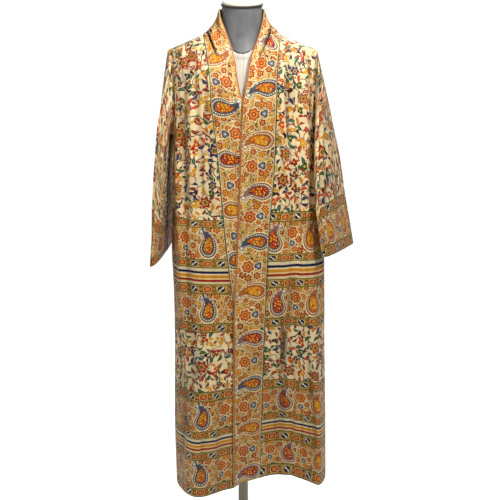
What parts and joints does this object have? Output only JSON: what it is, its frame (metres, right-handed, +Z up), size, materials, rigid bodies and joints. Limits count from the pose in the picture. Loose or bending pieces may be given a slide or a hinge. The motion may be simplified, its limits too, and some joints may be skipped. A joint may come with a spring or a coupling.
{
  "type": "kimono robe on a limbless dress form",
  "caption": "Full-length open-front kimono robe of printed silk, worn by a limbless torso dress form on a round-based pole stand.",
  "frame": {"origin": "middle of the underside of the stand's base", "axes": "+Z up along the pole, -Y out of the robe's front, +X towards the wearer's left"},
  "size_m": [0.5747, 0.37, 1.5569],
  "materials": {
    "robe_panel": "printed silk, soft sheen",
    "robe_sleeve": "printed silk, soft sheen",
    "robe_band": "printed silk, soft sheen",
    "form_linen": "matt linen",
    "form_neck_cloth": "smooth grey cover",
    "form_cap_linen": "matt linen",
    "stand_paint": "satin"
  },
  "bodies": {
    "root": {"back": "robe_panel", "front_right": "robe_panel", "front_left": "robe_panel", "band_right": "robe_band", "band_left": "robe_band", "collar_back": "robe_band", "sleeve_right": "robe_sleeve", "sleeve_left": "robe_sleeve", "form_torso": "form_linen", "form_neck": "form_neck_cloth", "form_neck_cap": "form_cap_linen", "form_pole": "stand_paint", "form_base": "stand_paint"}
  },
  "joints": []
}
